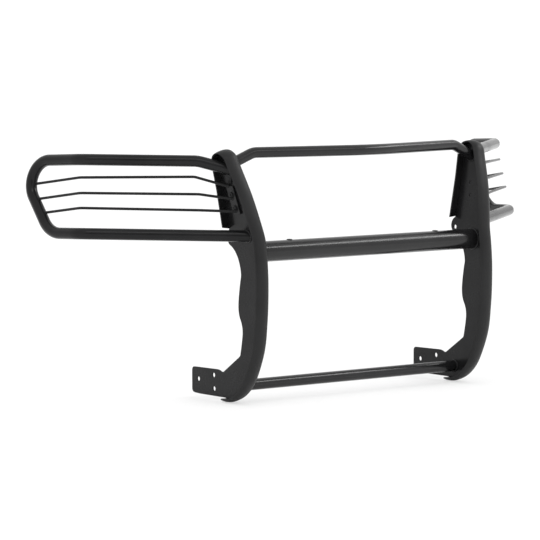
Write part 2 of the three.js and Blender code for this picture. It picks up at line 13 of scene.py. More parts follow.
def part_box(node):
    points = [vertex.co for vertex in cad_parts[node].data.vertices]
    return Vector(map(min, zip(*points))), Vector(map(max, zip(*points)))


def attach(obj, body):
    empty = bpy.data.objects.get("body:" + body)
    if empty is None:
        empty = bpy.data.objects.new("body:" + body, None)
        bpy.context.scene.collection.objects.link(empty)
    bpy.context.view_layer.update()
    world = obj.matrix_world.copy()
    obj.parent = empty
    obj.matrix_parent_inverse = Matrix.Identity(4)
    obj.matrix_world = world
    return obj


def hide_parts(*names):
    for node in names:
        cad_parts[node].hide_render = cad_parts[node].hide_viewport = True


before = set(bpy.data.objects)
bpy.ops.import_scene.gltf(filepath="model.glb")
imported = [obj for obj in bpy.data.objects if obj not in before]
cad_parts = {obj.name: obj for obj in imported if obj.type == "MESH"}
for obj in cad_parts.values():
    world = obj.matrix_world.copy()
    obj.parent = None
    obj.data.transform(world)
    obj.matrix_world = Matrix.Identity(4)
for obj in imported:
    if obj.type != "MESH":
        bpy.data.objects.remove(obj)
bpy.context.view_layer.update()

# ------------------------------------------------------------------ dimensions (mm)
PLATE_X = 425.0                       # middle of the plate below the bend
PLATE_T = 5.0
BEND_ANGLE = math.radians(10.6)
BEND_ARC = 40.0                       # length of the curved zone
BEND_Z = 455.0
BEND_START = BEND_Z - BEND_ARC / 2
BEND_R = BEND_ARC / BEND_ANGLE

STRIP_T = 4.5
HALF_W = 23.0                         # half width of the edge strip
LEG_HALF_W = HALF_W * 1.05            # half width where it runs down the rear leg
CROWN_RISE = 10.0                     # depth of the strip's crowned section
CROWN_LIP_ANGLE = 0.22                # where the crown's ellipse stops at the lips (rad)
TOP_R, TOP_Y, TOP_Z = 40.0, 55.3, 674.4   # arc of the strip over the riser's top
TOP_START = math.radians(158)
REAR_Y, REAR_END_Z = 91.0, 483.5      # rear leg of the strip

MAIN_Y, MAIN_Z, MAIN_OD = 3.5, 419.4, 60.3
LOW_Y, LOW_Z = 84.3, 25.0
TUBE_OD, TOP_OD, ROD_D = 33.4, 31.8, 8.0

BRACKET_BACK = PLATE_T / 2 + 0.05     # offsets outboard of the plate's middle
BRACKET_T, TAB_T = 5.5, 4.0
BRACKET_FACE = BRACKET_BACK + BRACKET_T
BOLTS = [(40.6, 587.1), (33.5, 549.4)]    # (y, z)
SINK = 0.2                            # how far tube and rod ends run into what they meet
BEAD_LIFT = 0.3                       # stand-off of a tube's weld bead from tube and plate

box_lo, box_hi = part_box("centre_crossbar")
OFFSET_Y = (box_lo.y + box_hi.y) / 2 * 1000 - MAIN_Y
OFFSET_Z = (box_lo.z + box_hi.z) / 2 * 1000 - MAIN_Z


def flat_z(z):
    return z if z <= BEND_Z else BEND_Z + (z - BEND_Z) / math.cos(BEND_ANGLE)


def flatten(points):
    """(y, z) as built to (y, z) in the flat riser."""
    return [(y, flat_z(z)) for y, z in points]


def bend(points):
    """Flat riser (x outboard of the plate's middle, y, z) to the bent riser on the +X side."""
    points = np.array(points, float)
    x, y, z = points[..., 0], points[..., 1], points[..., 2]
    turn = np.clip((z - BEND_START) / BEND_R, 0, BEND_ANGLE)
    past = np.clip(z - BEND_START - BEND_ARC, 0, None)
    bent_x = PLATE_X + BEND_R - (BEND_R - x) * np.cos(turn) + past * math.sin(BEND_ANGLE)
    bent_z = (np.minimum(z, BEND_START) + (BEND_R - x) * np.sin(turn)
              + past * math.cos(BEND_ANGLE))
    return np.stack([bent_x, y, bent_z], -1)


def outboard(x, z):
    """How far outboard of the plate's middle a point of the bent riser is."""
    x = x - PLATE_X
    if z <= BEND_START:
        return x
    if math.atan2(z - BEND_START, BEND_R - x) < BEND_ANGLE:
        return BEND_R - math.hypot(BEND_R - x, z - BEND_START)
    end_x = BEND_R - BEND_R * math.cos(BEND_ANGLE)
    end_z = BEND_START + BEND_R * math.sin(BEND_ANGLE)
    return (x - end_x) * math.cos(BEND_ANGLE) - (z - end_z) * math.sin(BEND_ANGLE)


def at_plate(offset, side=1):
    """Target for slide(): a surface at this offset from the plate on the +X or -X side."""
    return lambda point: outboard(side * point[0], point[2]) - offset


# ------------------------------------------------------------------ materials
MIX_FACTOR, MIX_A, MIX_B, MIX_RESULT = 0, 6, 7, 2    # colour sockets of the Mix node


def set_inputs(tree, node, inputs):
    """Links each input to a socket, or gives it a value."""
    for key, value in inputs.items():
        if isinstance(value, bpy.types.NodeSocket):
            tree.links.new(value, node.inputs[key])
        else:
            node.inputs[key].default_value = value


def add_node(tree, kind, inputs=None, **settings):
    node = tree.nodes.new("ShaderNode" + kind)
    for name, value in settings.items():
        setattr(node, name, value)
    set_inputs(tree, node, inputs or {})
    return node


def new_material(name):
    material = bpy.data.materials.new(name)
    material.use_nodes = True
    tree = material.node_tree
    tree.nodes.clear()
    output = add_node(tree, "OutputMaterial")
    bsdf = add_node(tree, "BsdfPrincipled")
    tree.links.new(bsdf.outputs["BSDF"], output.inputs["Surface"])
    return material, tree, bsdf


def noise(tree, coord, scale, detail=2.0, roughness=0.5):
    inputs = {"Scale": scale, "Detail": detail, "Roughness": roughness, "Vector": coord}
    return add_node(tree, "TexNoise", inputs).outputs["Fac"]


def remap(tree, value, source, target):
    inputs = {"From Min": source[0], "From Max": source[1],
              "To Min": target[0], "To Max": target[1], "Value": value}
    return add_node(tree, "MapRange", inputs).outputs["Result"]


def calc(tree, operation, a, b):
    return add_node(tree, "Math", {0: a, 1: b}, operation=operation).outputs[0]


def rgba(color, gain=1.0):
    return (*[channel * gain for channel in color], 1)


def mix_color(tree, factor, a, b):
    inputs = {MIX_FACTOR: factor, MIX_A: a, MIX_B: b}
    return add_node(tree, "Mix", inputs, data_type="RGBA").outputs[MIX_RESULT]


def edge_mask(tree):
    """1 along convex edges, 0 on open faces."""
    bevel = add_node(tree, "Bevel", {"Radius": 0.0012}, samples=4)
    geometry = add_node(tree, "NewGeometry")
    inputs = {0: bevel.outputs["Normal"], 1: geometry.outputs["Normal"]}
    dot = add_node(tree, "VectorMath", inputs, operation="DOT_PRODUCT")
    return remap(tree, dot.outputs["Value"], source=(0.99, 0.86), target=(0.0, 1.0))


def pebble_height(tree, coord, scale, depth):
    """Rounded cells, their coordinates warped by noise."""
    warp_noise = add_node(tree, "TexNoise", {"Scale": scale * 0.45, "Vector": coord})
    warp_inputs = {0: warp_noise.outputs["Color"], 1: (0.004, 0.004, 0.004), 2: coord}
    warp = add_node(tree, "VectorMath", warp_inputs, operation="MULTIPLY_ADD")
    inputs = {"Scale": scale, "Smoothness": 0.6, "Vector": warp.outputs[0]}
    cells = add_node(tree, "TexVoronoi", inputs, feature="SMOOTH_F1")
    return calc(tree, "MULTIPLY", cells.outputs["Distance"], depth)


COAT_BLACK = (0.0074, 0.0074, 0.0077)
RUBBED = (0.05, 0.05, 0.052)


def coat_material(name, roughness, ior, base=COAT_BLACK, peel_scale=420.0, peel_height=0.03,
                  grain_scale=1500.0, grain_height=0.006, wear=0.35, pebble=None):
    """Powder coat: dark base, orange peel, fine grain, uneven gloss and slightly rubbed edges.

    Heights are in mm. wear is the most an edge is rubbed; pebble is (scale, depth).
    """
    material, tree, bsdf = new_material(name)
    coord = add_node(tree, "TexCoord").outputs["Object"]
    broad = noise(tree, coord, scale=9.0, detail=3.0, roughness=0.55)
    spots = noise(tree, coord, scale=260.0, roughness=0.6)

    tone = mix_color(tree, remap(tree, broad, source=(0.35, 0.65), target=(0.0, 1.0)),
                     rgba(base, gain=0.8), rgba(base, gain=1.25))
    edges = edge_mask(tree)
    rub = noise(tree, coord, scale=55.0, detail=4.0, roughness=0.7)
    rub = remap(tree, rub, source=(0.5, 0.72), target=(0.0, wear))
    color = mix_color(tree, calc(tree, "MULTIPLY", edges, rub), tone, rgba(RUBBED))

    broad_gloss = remap(tree, broad, source=(0.3, 0.7),
                        target=(roughness - 0.05, roughness + 0.05))
    spot_gloss = remap(tree, spots, source=(0.3, 0.7), target=(-0.03, 0.03))
    gloss = calc(tree, "ADD", broad_gloss, spot_gloss)

    peel = noise(tree, coord, peel_scale, detail=1.5, roughness=0.45)
    height = calc(tree, "MULTIPLY", peel, peel_height)
    grain = noise(tree, coord, grain_scale, roughness=0.6)
    height = calc(tree, "ADD", height, calc(tree, "MULTIPLY", grain, grain_height))
    if pebble:
        height = calc(tree, "SUBTRACT", height, pebble_height(tree, coord, *pebble))
    bump = add_node(tree, "Bump", {"Strength": 1.0, "Distance": 0.001, "Height": height})
    set_inputs(tree, bsdf, {"Base Color": color, "Roughness": gloss, "IOR": ior,
                            "Normal": bump.outputs["Normal"]})
    return material


POWDER = coat_material("powder_coat", roughness=0.24, ior=1.21)
CROSSBAR_COAT = coat_material("powder_coat_crossbar", roughness=0.21, ior=1.37)
WING_COAT = coat_material("powder_coat_wing", roughness=0.21, ior=1.24)
STRIP_COAT = coat_material("textured_coat", roughness=0.45, ior=1.30,
                           peel_scale=330.0, peel_height=0.14,
                           grain_scale=1400.0, grain_height=0.03, pebble=(430.0, 0.13))
BOLT_COAT = coat_material("fastener", roughness=0.38, ior=1.28, base=(0.006, 0.006, 0.0065),
                          peel_scale=700.0, peel_height=0.02,
                          grain_scale=2200.0, grain_height=0.02, wear=0.7)
PLUG_COAT = coat_material("plug", roughness=0.55, ior=1.45, base=(0.012, 0.012, 0.012),
                          peel_scale=900.0, peel_height=0.05,
                          grain_scale=2600.0, grain_height=0.03, wear=0.1)
WELD_COAT = coat_material("weld_coat", roughness=0.28, ior=1.28,
                          peel_scale=500.0, peel_height=0.06, grain_height=0.02)


# ------------------------------------------------------------------ adding pieces
def add_piece(name, skin, material, replaces=(), slot="powder_coat", mirror=False,
              sharp=40, weighted=False):
    """skin is (vertices in design mm, faces); sharp is the angle in degrees that stays crisp."""
    verts, faces = skin
    verts = np.array(verts, float)
    if mirror:
        verts = verts * np.array([-1, 1, 1])
        faces = [tuple(face)[::-1] for face in faces]
    placed = (verts + np.array([0.0, OFFSET_Y, OFFSET_Z])) / 1000.0
    mesh = bpy.data.meshes.new(name)
    mesh.from_pydata([tuple(point) for point in placed], [], faces)
    mesh.update()
    bm = bmesh.new()
    bm.from_mesh(mesh)
    bmesh.ops.remove_doubles(bm, verts=bm.verts, dist=1e-6)
    bmesh.ops.recalc_face_normals(bm, faces=bm.faces)
    bm.to_mesh(mesh)
    bm.free()
    mesh.polygons.foreach_set("use_smooth", [True] * len(mesh.polygons))
    mesh.set_sharp_from_angle(angle=math.radians(sharp))
    mesh.materials.append(material)
    piece = bpy.data.objects.new(name, mesh)
    bpy.context.scene.collection.objects.link(piece)
    if weighted:
        normals = piece.modifiers.new("normals", "WEIGHTED_NORMAL")
        normals.keep_sharp = True
        normals.weight = 80
    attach(piece, "root")
    if replaces:
        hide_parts(*replaces)


def add_pair(base, skin, material, in_cad=True, **options):
    """The piece on the right and its mirror image on the left."""
    for side, mirror in (("right", False), ("left", True)):
        name = f"{base}_{side}"
        add_piece(name + "_skin", skin, material, (name,) if in_cad else (),
                  mirror=mirror, **options)


# ------------------------------------------------------------------ mesh helpers
def unit(vector):
    vector = np.asarray(vector, float)
    return vector / np.linalg.norm(vector)


def full_turn(count):
    return 2 * math.pi * np.arange(count) / count


def travelled(points):
    """Distance along a line of points, at each point."""
    return np.concatenate([[0], np.cumsum(np.linalg.norm(np.diff(points, axis=0), axis=1))])


def resample(points, cumulative, distances):
    columns = range(points.shape[1])
    return np.stack([np.interp(distances, cumulative, points[:, k]) for k in columns], 1)


def loft(rings, cyclic=False):
    """Closed rings of equal length joined into a skin, capped unless the last meets the first."""
    n = len(rings[0])
    m = len(rings)
    faces = []
    for i in range(m if cyclic else m - 1):
        j = (i + 1) % m
        for k in range(n):
            l = (k + 1) % n
            faces.append((i * n + k, i * n + l, j * n + l, j * n + k))
    if not cyclic:
        faces.append(tuple(range(n))[::-1])
        faces.append(tuple((m - 1) * n + k for k in range(n)))
    return np.concatenate(rings), faces


def merge(skins):
    verts, faces, count = [], [], 0
    for part_verts, part_faces in skins:
        verts.append(part_verts)
        faces += [tuple(i + count for i in face) for face in part_faces]
        count += len(part_verts)
    return np.concatenate(verts), faces


def bent_path(corners, radii, step):
    """(points, tangents) of a bent tube's centre line, with a point each step degrees of bend."""
    corners = [np.array(corner, float) for corner in corners]
    points = [corners[0]]
    tangents = [unit(corners[1] - corners[0])]
    for before, corner, after, radius in zip(corners, corners[1:], corners[2:], radii):
        a, b = unit(corner - before), unit(after - corner)
        turn = math.acos(np.clip(a @ b, -1, 1))
        inward = unit(b - a * math.cos(turn))
        centre = corner - a * radius * math.tan(turn / 2) + inward * radius
        count = max(4, int(math.degrees(turn) / step))
        for k in range(count + 1):
            w = turn * k / count
            points.append(centre - inward * radius * math.cos(w) + a * radius * math.sin(w))
            tangents.append(unit(a * math.cos(w) + inward * math.sin(w)))
    points.append(corners[-1])
    tangents.append(unit(corners[-1] - corners[-2]))
    return np.array(points), np.array(tangents)


def ring_round(centre, u, v, radius, sides):
    angle = full_turn(sides)[:, None]
    return centre + radius * (np.cos(angle) * u + np.sin(angle) * v)


def circle_rings(path, radius, sides):
    """Circles square to the path, starting from the upward side and carried without twist."""
    rings = []
    u = np.array([0.0, 0.0, 1.0])
    for point, tangent in zip(*path):
        u = unit(u - tangent * (u @ tangent))
        rings.append(ring_round(point, u, np.cross(tangent, u), radius, sides))
    return rings


def slide(ring, direction, target):
    """Moves each point of ring along direction until target(point) is 0, by the secant method."""
    moved = []
    for point in ring:
        s0, s1 = 0.0, 1.0
        f0, f1 = target(point), target(point + direction)
        for _ in range(30):
            if abs(f1 - f0) < 1e-12:
                break
            s2 = s1 - f1 * (s1 - s0) / (f1 - f0)
            s0, f0 = s1, f1
            s1, f1 = s2, target(point + direction * s2)
            if abs(f1) < 1e-7:
                break
        moved.append(point + direction * s1)
    return np.array(moved)


def tube(path, diameter, wall, sides, start, end):
    """Tube wall as one closed skin: outside, end faces and bore, each end fitted to a target."""
    tangents = path[1]
    outer = circle_rings(path, diameter / 2, sides)
    inner = circle_rings(path, diameter / 2 - wall, sides)
    for rings in (outer, inner):
        rings[0] = slide(rings[0], tangents[0], start)
        rings[-1] = slide(rings[-1], tangents[-1], end)
    return loft(outer + inner[::-1], cyclic=True)


def end_ring(path, index, radius, sides):
    points, tangents = path
    return circle_rings((points[[index]], tangents[[index]]), radius, sides)[0]


def bead(line, radius, phase, closed=True):
    """Weld bead along a line of points, with the ripple a hand weld leaves under the coat."""
    spacing, pitch, sides = 0.8, 3.2, 12
    ripple, unevenness, wander = 0.12, 0.05, 0.06
    line = np.asarray(line, float)
    if closed:
        line = np.vstack([line, line[:1]])
    cumulative = travelled(line)
    total = cumulative[-1]
    distances = np.linspace(0, total, max(16, int(total / spacing)), endpoint=not closed)
    points = resample(line, cumulative, distances)
    if closed:
        tangents = np.roll(points, -1, 0) - np.roll(points, 1, 0)
    else:
        tangents = np.gradient(points, axis=0)
    tangents = tangents / np.linalg.norm(tangents, axis=1)[:, None]
    centre = points.mean(0)
    waves = max(4, round(total / pitch))
    rings = []
    for s, point, tangent in zip(distances, points, tangents):
        side = point - centre if closed else np.array([0.31, 0.52, 0.8])
        u = unit(side - tangent * (side @ tangent))
        v = np.cross(tangent, u)
        wave = abs(2 * ((s / total * waves + phase) % 1.0) - 1)
        swell = ripple * (wave ** 1.5 - 0.5)
        r = radius * (1 + swell + unevenness * math.sin(7.3 * s / radius / 3 + phase))
        if not closed:
            # round the ends off
            reach = min(s, total - s) / (1.6 * radius)
            r *= math.sqrt(max(0.02, 1 - max(0.0, 1 - reach) ** 2))
        middle = point + wander * radius * math.sin(1.7 * s / radius + phase) * v
        rings.append(ring_round(middle, u, v, r, sides))
    return loft(rings, cyclic=closed)


def end_bead(path, index, radius, sides, target, bead_radius, phase):
    """Bead round a path at one end, where it meets a target surface."""
    ring = end_ring(path, index, radius, sides)
    return bead(slide(ring, path[1][index], target), bead_radius, phase)


def bezier(start, corner, end, count=10):
    """Quadratic curve that rounds a corner."""
    start, corner, end = map(np.array, (start, corner, end))
    return [(1 - t) ** 2 * start + 2 * t * (1 - t) * corner + t * t * end
            for t in np.linspace(0, 1, count)]


def catmull(knots, per):
    """Centripetal Catmull-Rom through the knots, per points to a span."""
    knots = np.array(knots, float)
    knots = np.vstack([2 * knots[0] - knots[1], knots, 2 * knots[-1] - knots[-2]])
    t = (np.arange(per) / per)[:, None]
    spans = []
    for p0, p1, p2, p3 in zip(knots, knots[1:], knots[2:], knots[3:]):
        d0, d1, d2 = [max(1e-4, np.linalg.norm(b - a) ** 0.5)
                      for a, b in ((p0, p1), (p1, p2), (p2, p3))]
        m1 = ((p1 - p0) / d0 - (p2 - p0) / (d0 + d1) + (p2 - p1) / d1) * d1
        m2 = ((p2 - p1) / d1 - (p3 - p1) / (d1 + d2) + (p3 - p2) / d2) * d1
        spans.append(p1 + t * m1 + t * t * (-3 * p1 + 3 * p2 - 2 * m1 - m2)
                     + t ** 3 * (2 * p1 - 2 * p2 + m1 + m2))
    return np.vstack(spans + [knots[-2:-1]])


# ------------------------------------------------------------------ edge strip
# (y, z) of the crown line: from the tip under the foot, forwards, then up the front edge
STRIP_KNOTS = [
    (124.0, -18.5), (114.1, -20.6), (103.2, -21.8), (84.4, -21.2), (61.7, -15.0), (38.0, -4.3),
    (13.8, 13.8), (-8.4, 38.7), (-25.5, 68.5), (-41.7, 103.3), (-53.4, 135.1), (-60.8, 167.8),
    (-65.9, 211.5), (-69.7, 255.1), (-71.2, 298.7), (-71.1, 340.4), (-69.6, 369.1),
    (-64.4, 421.6), (-56.4, 468.2), (-42.6, 525.2), (-25.7, 582.2), (-3.0, 638.7), (9.0, 666.4),
    (TOP_Y + TOP_R * math.cos(TOP_START), TOP_Z + TOP_R * math.sin(TOP_START))]
KNOT_STEPS = 40
TIP_REACH = 22.6                      # length over which the tip narrows
TIP_ROOT_Y = STRIP_KNOTS[0][0] - TIP_REACH
TOP_FLAT_Z = flat_z(TOP_Z)
LEG_FLAT_Z = flat_z(600)              # the rear leg is straight below this
LEG_END_FLAT_Z = flat_z(REAR_END_Z)


def strip_stations():
    """(point, tangent, half width) along the crown line, in the flat riser."""
    crown = catmull(flatten(STRIP_KNOTS), KNOT_STEPS)
    cumulative = travelled(crown)
    length = cumulative[-1]
    # y only falls over the first five spans, so distance can be looked up from it there
    falling = 5 * KNOT_STEPS
    tip_ys = [TIP_ROOT_Y + TIP_REACH * math.sin(a)
              for a in np.linspace(math.asin(0.985), 0.15, 15)]
    distances = [float(np.interp(-y, -crown[:falling, 0], cumulative[:falling]))
                 for y in tip_ys]
    distances += list(np.arange(distances[-1] + 4, length - 2, 6.0)) + [length]
    distances = np.array(distances)
    points = resample(crown, cumulative, distances)
    tangents = (resample(crown, cumulative, np.minimum(distances + 1.5, length))
                - resample(crown, cumulative, np.maximum(distances - 1.5, 0)))
    tangents /= np.linalg.norm(tangents, axis=1)[:, None]
    stations = []
    for point, tangent in zip(points, tangents):
        along_tip = max(0.0, (point[0] - TIP_ROOT_Y) / TIP_REACH) if point[1] < 0 else 0.0
        stations.append((point, tangent, HALF_W * math.sqrt(1 - along_tip * along_tip)))
    # over the top
    for a in np.linspace(TOP_START, 0, 54)[1:]:
        point = np.array([TOP_Y + TOP_R * math.cos(a), TOP_FLAT_Z + TOP_R * math.sin(a)])
        stations.append((point, np.array([math.sin(a), -math.cos(a)]), HALF_W))
    # down the rear leg
    leg_zs = list(np.arange(TOP_FLAT_Z - 6, LEG_FLAT_Z, -6.0))
    leg_zs += list(np.arange(LEG_FLAT_Z, LEG_END_FLAT_Z + 9, -8.0))
    leg_zs += [LEG_END_FLAT_Z + 1.0, LEG_END_FLAT_Z]
    for z in leg_zs:
        up = np.clip((z - LEG_FLAT_Z) / (TOP_FLAT_Z - LEG_FLAT_Z), 0, 1)
        point = np.array([REAR_Y + (TOP_Y + TOP_R - REAR_Y) * up, z])
        stations.append((point, np.array([0.0, -1.0]), HALF_W))
    return stations


STATIONS = strip_stations()


def inward(tangent):
    """From the crown line towards the plate."""
    return np.array([tangent[1], -tangent[0]])


def crown_drop(x, half):
    lip_sin, lip_cos = math.sin(CROWN_LIP_ANGLE), math.cos(CROWN_LIP_ANGLE)
    t = math.acos(np.clip(abs(x) * lip_cos / half, 0, lip_cos))
    return CROWN_RISE * (1 - (math.sin(t) - lip_sin) / (1 - lip_sin))


def rounded(a, corner, b, radius):
    to_a, to_b = a - corner, b - corner
    radius_a = min(radius, np.linalg.norm(to_a) * 0.48)
    radius_b = min(radius, np.linalg.norm(to_b) * 0.48)
    return bezier(corner + unit(to_a) * radius_a, corner, corner + unit(to_b) * radius_b, 5)


def section_loop(outer_depth, inner_depth, outer_lip, inner_lip, inner_half, lip_radius):
    """Closed loop of (x, depth) from two depth curves, with points crowding towards the lips."""
    outer_angles = np.linspace(0, math.pi, 32)[1:-1]
    inner_angles = np.linspace(math.pi, 0, 24)[1:-1]
    outer = [np.array([x, outer_depth(x)]) for x in outer_lip[0] * np.cos(outer_angles)]
    inner = [np.array([x, inner_depth(x)]) for x in inner_half * np.cos(inner_angles)]
    outer_lip, inner_lip = np.array(outer_lip), np.array(inner_lip)
    across = np.array([-1, 1])
    loop = list(outer)
    loop += rounded(outer[-1], outer_lip * across, inner_lip * across, lip_radius)
    loop += rounded(outer_lip * across, inner_lip * across, inner[0], lip_radius * 0.8)
    loop += inner
    loop += rounded(inner[-1], inner_lip, outer_lip, lip_radius * 0.8)
    loop += rounded(inner_lip, outer_lip, outer[0], lip_radius)
    return np.array(loop)


def channel_section(width):
    """Crowned channel of this half width, its bore narrower by the lips."""
    bore_half = HALF_W - 4
    inner_half = max(width - 4 * np.clip((width - 15) / 8, 0, 1), 0.5)

    def outer_depth(x):
        return crown_drop(x, HALF_W)

    def inner_depth(x):
        return STRIP_T + 0.55 * crown_drop(x, bore_half)

    full = width >= HALF_W
    inner_lip = (bore_half, CROWN_RISE) if full else (inner_half, inner_depth(inner_half))
    return section_loop(outer_depth, inner_depth, (width, outer_depth(width)), inner_lip,
                        inner_half, lip_radius=1.4 * min(1, width / 10))


def leg_section():
    """Nearly flat section of the rear leg."""
    def outer_depth(x):
        return 1.2 * (x / HALF_W) ** 2

    def inner_depth(x):
        return STRIP_T + outer_depth(x)

    return section_loop(outer_depth, inner_depth, (LEG_HALF_W, outer_depth(LEG_HALF_W)),
                        (LEG_HALF_W, inner_depth(LEG_HALF_W)), LEG_HALF_W, lip_radius=1.4)


def smooth_step(value, low, high):
    t = np.clip((value - low) / (high - low), 0, 1)
    return t * t * (3 - 2 * t)


def shrink(loop, distance):
    """Moves a closed loop inwards in its own plane."""
    ahead = np.roll(loop, -1, 0)
    tangents = ahead - np.roll(loop, 1, 0)
    tangents /= np.maximum(np.linalg.norm(tangents, axis=1), 1e-9)[:, None]
    normals = np.stack([tangents[:, 1], -tangents[:, 0]], 1)
    area = 0.5 * np.sum(loop[:, 0] * ahead[:, 1] - ahead[:, 0] * loop[:, 1])
    return loop - normals * distance * (1 if area > 0 else -1)


def leg_share(point):
    """0 where the strip is a channel, 1 on the rear leg, easing over on the top arc."""
    y, z = point
    if z > TOP_FLAT_Z:
        past_top = math.pi / 2 - math.atan2(z - TOP_FLAT_Z, y - TOP_Y)
        return smooth_step(past_top, -0.5, 0.9)
    return 1.0 if y > TOP_Y and z > LEG_END_FLAT_Z - 10 else 0.0


def strip_skin():
    leg = leg_section()
    end_slant = math.tan(BEND_ANGLE) + 0.13
    rings = []
    last = len(STATIONS) - 1
    for i, (point, tangent, width) in enumerate(STATIONS):
        share = leg_share(point)
        loop = (1 - share) * channel_section(width) + share * leg
        if i in (0, last):
            loop = shrink(loop, 0.9)
        x = loop[:, 0]
        y, z = (point + loop[:, 1:2] * inward(tangent)).T
        if i >= last - 1:
            z = z + x * end_slant
        rings.append(np.stack([x, y, z], 1))
    verts, faces = loft(rings)
    return bend(verts), faces


add_pair("riser_edge_strip", strip_skin(), STRIP_COAT, slot="textured_coat", sharp=50)


# ------------------------------------------------------------------ flat cut parts
def flat_part(outline, holes, back, thickness, edge):
    """Profile in (y, z of the flat riser) with rounded edges, its inboard face at x = back."""
    curve = bpy.data.curves.new("profile", "CURVE")
    curve.dimensions = "2D"
    curve.fill_mode = "BOTH"
    curve.extrude = thickness / 2 - edge
    curve.bevel_depth = edge
    curve.bevel_resolution = 2
    curve.offset = -edge
    for loop in [outline] + holes:
        spline = curve.splines.new("POLY")
        spline.points.add(len(loop) - 1)
        for k, (y, z) in enumerate(loop):
            spline.points[k].co = (y, z, 0, 1)
        spline.use_cyclic_u = True
    holder = bpy.data.objects.new("profile", curve)
    bpy.context.scene.collection.objects.link(holder)
    bpy.context.view_layer.update()
    depsgraph = bpy.context.evaluated_depsgraph_get()
    mesh = bpy.data.meshes.new_from_object(holder.evaluated_get(depsgraph))
    bpy.data.objects.remove(holder)
    bpy.data.curves.remove(curve)
    bm = bmesh.new()
    bm.from_mesh(mesh)
    bmesh.ops.remove_doubles(bm, verts=bm.verts, dist=1e-3)
    # cut across the bend zone so that the faces can follow it
    for k in range(13):
        z = BEND_START + BEND_ARC * k / 12
        bmesh.ops.bisect_plane(bm, geom=bm.verts[:] + bm.edges[:] + bm.faces[:],
                               plane_co=(0, z, 0), plane_no=(0, 1, 0))
    middle = back + thickness / 2
    verts = np.array([(vert.co.z + middle, vert.co.x, vert.co.y) for vert in bm.verts])
    faces = [tuple(vert.index for vert in face.verts) for face in bm.faces]
    bm.free()
    bpy.data.meshes.remove(mesh)
    return bend(verts), faces


def hole(y, z, diameter, count=40):
    return [(y + diameter / 2 * math.cos(a), z + diameter / 2 * math.sin(a))
            for a in np.linspace(0, 2 * math.pi, count, endpoint=False)]


BOLT_HOLES = [hole(y, z, 8.8, 28) for y, z in flatten(BOLTS)]

# (y, z, diameter): three in the foot, one in the lobe below the rear leg
PLATE_HOLES = [(245.0, 32.1, 14), (170.0, 49.9, 14), (167.8, 10.5, 14), (83.1, 450.6, 13)]

# (y, z) of the plate's rear edge, from the end of the rear leg down towards the foot
PLATE_REAR_EDGE = [
    (88.7, 479.4), (94.1, 475.4), (98.6, 469.4), (100.8, 462.0), (101.1, 454.0), (99.0, 446.1),
    (92.5, 437.7), (79.9, 430.8), (65.0, 418.7), (54.4, 405.2), (46.8, 391.4), (41.5, 377.3),
    (37.7, 362.9), (36.6, 348.0), (39.6, 334.1), (45.0, 303.4), (47.2, 286.5), (48.7, 271.6),
    (48.9, 256.7), (47.3, 242.9), (43.0, 229.5), (35.4, 215.1), (30.6, 201.2), (29.0, 187.4),
    (29.9, 173.5), (34.7, 145.7), (40.1, 120.4)]


def plate_outline():
    inset = STRIP_T - 0.1
    points = []
    for point, tangent, _ in STATIONS[:-1]:
        y, z = point + inward(tangent) * inset
        under_foot = z < 20 and y > 92
        lower_leg = y > TOP_Y and 300 < z < LEG_FLAT_Z
        if not under_foot and not lower_leg:
            points.append((y, z))
    rear = REAR_Y - inset
    points += [(rear, LEG_FLAT_Z), (rear, flat_z(REAR_END_Z - 1))]
    points += list(catmull(flatten(PLATE_REAR_EDGE), 5))
    # round the foot: its inner corner, upper edge, rear end and lower edge
    points += bezier((40.1, 120.4), (41.3, 116.7), (46.5, 113.3), 5)[1:]
    points += bezier((118.5, 66.2), (126.9, 60.5), (135.4, 64.5))
    points += bezier((135.4, 64.5), (145, 69.0), (158.5, 68.7))[1:]
    points += bezier((264.2, 66.6), (276.4, 66.6), (276.4, 54.0))
    points += bezier((276.2, 3.5), (276.1, -9.4), (262.5, -10.2))
    points += [(239.1, -11.4), (112.2, -10.9)]
    spaced = [points[0]]
    for y, z in points[1:]:
        if math.hypot(y - spaced[-1][0], z - spaced[-1][1]) > 0.25:
            spaced.append((y, z))
    return spaced


def bracket_outline():
    top_front, low_front, (low_y, low_z), (top_y, top_z) = flatten(
        [(30.1, 611.5), (12.4, 531.5), (44.4, 527.5), (63.2, 609.5)])
    return ([top_front, low_front]
            + bezier((low_y - 8, low_z + 0.8), (low_y, low_z), (low_y + 1.7, low_z + 8))
            + bezier((top_y - 1.4, top_z - 7), (top_y, top_z), (top_y - 7, top_z + 0.4)))


def tab_outline():
    return (flatten([(29.9, 641.6)])
            + bezier(*flatten([(35.3, 623.8), (37.7, 619.0), (43.7, 619.0)]))
            + bezier(*flatten([(59.5, 619.0), (65.9, 619.0), (66.4, 625.7)]))
            + flatten([(69.5, 643.6)]))


plate_holes = [hole(*row) for row in PLATE_HOLES] + BOLT_HOLES
# (name, outline, holes, inboard face, thickness, edge rounding)
for name, *shape in (
        ("riser_plate", plate_outline(), plate_holes, -PLATE_T / 2, PLATE_T, 0.75),
        ("rod_bracket", bracket_outline(), BOLT_HOLES, BRACKET_BACK, BRACKET_T, 0.8),
        ("wing_tube_tab", tab_outline(), [], BRACKET_BACK, TAB_T, 0.7)):
    add_pair(name, flat_part(*shape), POWDER, sharp=60, weighted=True)


# ------------------------------------------------------------------ fasteners
ROUND, HEX = False, True

